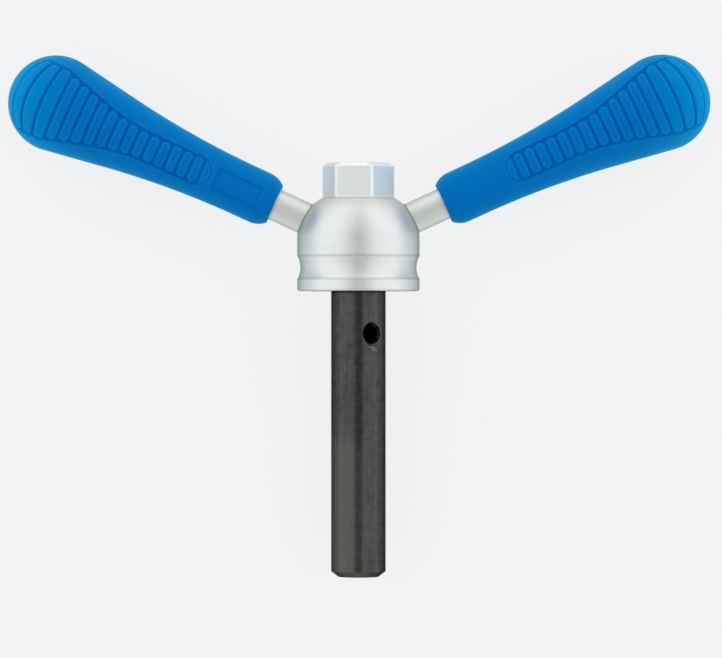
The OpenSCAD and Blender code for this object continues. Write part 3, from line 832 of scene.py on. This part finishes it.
def satin_blue_polypropylene():
    """Polypropylene moulded in a finely etched mould: an even deep blue with a soft satin sheen."""
    material, tree, shader = new_material("Satin moulded polypropylene")
    place = add_node(tree, "ShaderNodeTexCoord").outputs["Object"]
    clouds = add_node(tree, "ShaderNodeTexNoise", inputs={
        "Vector": place, "Scale": 1 / (PLASTIC_CLOUD * MM), "Detail": 3})
    colour = add_node(tree, "ShaderNodeMix", {"data_type": "RGBA"}, {
        0: clouds.outputs["Fac"], 6: to_linear("#0067ba"), 7: to_linear("#006ec1")})
    # Painted light: towards the ball the plastic is paler, as its tip is lit from the side
    sideways = add_node(tree, "ShaderNodeSeparateXYZ", inputs={"Vector": place}).outputs["X"]
    sideways = add_node(tree, "ShaderNodeMath", {"operation": "ABSOLUTE"}, {0: sideways})
    lit_tip = add_node(tree, "ShaderNodeMapRange", {"interpolation_type": "SMOOTHSTEP"}, {
        "Value": sideways.outputs[0], "From Min": PALE_START_X * MM, "From Max": PALE_FULL_X * MM})
    colour = add_node(tree, "ShaderNodeMix", {"data_type": "RGBA"}, {
        0: lit_tip.outputs["Result"], 6: colour.outputs[2], 7: to_linear("#0088d2")})
    # Painted highlights make the ribs' edges paler, and painted shade darkens their channels and the fine
    # line along the pad
    painted_light = add_node(tree, "ShaderNodeAttribute", {"attribute_name": "painted_light"}).outputs["Fac"]
    rib_highlights = add_node(tree, "ShaderNodeMath", {"operation": "MULTIPLY", "use_clamp": True}, {
        0: painted_light, 1: 0.28})
    colour = add_node(tree, "ShaderNodeMix", {"data_type": "RGBA"}, {
        0: rib_highlights.outputs[0], 6: colour.outputs[2], 7: to_linear("#1290de")})
    channel_shade = add_node(tree, "ShaderNodeMath", {"operation": "MULTIPLY", "use_clamp": True}, {
        0: painted_light, 1: -0.35})
    colour = add_node(tree, "ShaderNodeMix", {"data_type": "RGBA"}, {
        0: channel_shade.outputs[0], 6: colour.outputs[2], 7: to_linear("#0053b0")})
    # The mould's etched grain
    grain = add_node(tree, "ShaderNodeTexNoise", inputs={
        "Vector": place, "Scale": 1 / (MOULD_GRAIN * MM), "Detail": 2})
    bump = add_node(tree, "ShaderNodeBump", inputs={
        "Height": grain.outputs["Fac"], "Strength": 0.12, "Distance": RELIEF * MM})
    tree.links.new(colour.outputs[2], shader.inputs["Base Color"])
    tree.links.new(bump.outputs["Normal"], shader.inputs["Normal"])
    shader.inputs["Roughness"].default_value = 0.6
    shader.inputs["Specular IOR Level"].default_value = 0.06
    shader.inputs["Sheen Weight"].default_value = 0.5
    shader.inputs["Sheen Roughness"].default_value = 0.6
    shader.inputs["Sheen Tint"].default_value = to_linear("#00d8ff")
    shader.inputs["IOR"].default_value = 1.49
    shader.inputs["Specular Tint"].default_value = to_linear("#40f4ff")
    return material


# Stage, lights and camera, in metres

FLOOR_R = 1.5
FLOOR_CURVE_R = 0.6
# Share of the card's own pale colour in what the camera, metal and glass see of it; the rest is
# its lit surface, with the object's shadow
CARD_SHARE = 0.85

# The camera looks straight down from here. Its lens gives 0.43 mm a pixel in the plane of the axis.
CAMERA_HEIGHT = 1.8
CAMERA_PLACE = (1.12 * MM, -16.34 * MM, CAMERA_HEIGHT)
CAMERA_LENS = 208.7


def pale_floor():
    """Matt white card: it shows the object's shadow softly and is otherwise an even pale grey."""
    material = bpy.data.materials.new("Matt pale card")
    material.use_nodes = True
    tree = material.node_tree
    tree.nodes.clear()
    diffuse = add_node(tree, "ShaderNodeBsdfDiffuse", inputs={"Color": to_linear("#f2f2f2")})
    glow = add_node(tree, "ShaderNodeEmission", inputs={"Color": to_linear("#f7f7f7"), "Strength": 1.0})
    path = add_node(tree, "ShaderNodeLightPath")
    seen = add_node(tree, "ShaderNodeMath", {"operation": "ADD", "use_clamp": True}, {
        0: path.outputs["Is Camera Ray"], 1: path.outputs["Is Glossy Ray"]})
    seen = add_node(tree, "ShaderNodeMath", {"operation": "ADD", "use_clamp": True}, {
        0: seen.outputs[0], 1: path.outputs["Is Transmission Ray"]})
    share = add_node(tree, "ShaderNodeMath", {"operation": "MULTIPLY"}, {
        0: seen.outputs[0], 1: CARD_SHARE})
    mixed = add_node(tree, "ShaderNodeMixShader", inputs={
        0: share.outputs[0], 1: diffuse.outputs[0], 2: glow.outputs[0]})
    add_node(tree, "ShaderNodeOutputMaterial", inputs={"Surface": mixed.outputs[0]})
    return material


def make_floor():
    """A wide round floor that curves up at its rim, so that every view ends on it."""
    rim = [(0, 0), (FLOOR_R / 3, 0), (FLOOR_R, 0)]
    rim += arc((FLOOR_R, FLOOR_CURVE_R), FLOOR_CURVE_R, -90, -10, 16)
    angles = np.radians(np.arange(0, 360, 5))
    # The hub rests on it
    points = [(r * np.cos(a), r * np.sin(a), h - HUB_R * MM) for r, h in rim for a in angles]
    mesh = bpy.data.meshes.new("floor")
    mesh.from_pydata(points, [], grid_faces(len(rim), len(angles), True))
    mesh.materials.append(pale_floor())
    floor = bpy.data.objects.new("floor", mesh)
    bpy.context.scene.collection.objects.link(floor)
    for face in mesh.polygons:
        face.use_smooth = True


def add_softbox(name, place, size, long_side, strength, colour="#ffffff"):
    """A rectangular lamp that faces the object and gives off strength times its colour.

    Its longer side, the second of size, runs along long_side."""
    lamp = bpy.data.lights.new(name, "AREA")
    lamp.shape = "RECTANGLE"
    lamp.size = size[0]
    lamp.size_y = size[1]
    lamp.energy = strength * np.pi * size[0] * size[1]
    lamp.color = to_linear(colour)[:3]
    back = Vector(place).normalized()
    across = Vector(long_side).cross(back).normalized()
    turn = Matrix((across, back.cross(across), back)).transposed()
    box = bpy.data.objects.new(name, lamp)
    box.location = place
    box.rotation_euler = turn.to_euler()
    box.visible_camera = False
    bpy.context.scene.collection.objects.link(box)


def light_stage():
    """Two long boxes with a dark gap between them overhead, a weak warm box past the top of the
    picture, a low box past its top and one past its foot, and a dim room."""
    add_softbox("left_box", (-0.77, 0.1, 0.64), (1.4, 2.4), (0, 1, 0), 0.78)
    add_softbox("right_box", (0.77, 0.1, 0.64), (1.4, 2.4), (0, 1, 0), 0.78)
    add_softbox("top_box", (0, 1.36, 0.63), (1.3, 1.6), (1, 0, 0), 0.25, "#fff4e6")
    add_softbox("low_top_box", (0, 1.42, 0.36), (0.6, 2.2), (1, 0, 0), 0.8)
    add_softbox("bottom_box", (0, -1.42, 0.36), (0.6, 2.2), (1, 0, 0), 0.5)
    world = bpy.data.worlds.new("dim room")
    world.use_nodes = True
    world.node_tree.nodes["Background"].inputs["Color"].default_value = to_linear("#9c9e9f")
    world.node_tree.nodes["Background"].inputs["Strength"].default_value = 1.0
    bpy.context.scene.world = world


def set_camera():
    """Looks straight down, over the middle of the picture."""
    data = bpy.data.cameras.new("camera")
    data.sensor_width = 36
    data.lens = CAMERA_LENS
    data.clip_start = 0.05
    camera = bpy.data.objects.new("camera", data)
    camera.location = CAMERA_PLACE
    bpy.context.scene.collection.objects.link(camera)
    bpy.context.scene.camera = camera


# Putting it together

def dress(node, material):
    """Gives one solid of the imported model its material."""
    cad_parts[node].material_slots[0].material = material


set_camera()
light_stage()
make_floor()
make_hub(zinc_on_turned_steel())
make_grips(satin_blue_polypropylene())
dress("guide_shaft", black_oxide_on_ground_steel())
rod_finish = zinc_on_drawn_steel()
dress("left_rod", rod_finish)
dress("right_rod", rod_finish)
bpy.context.scene.view_settings.view_transform = "Standard"

bpy.context.view_layer.update()
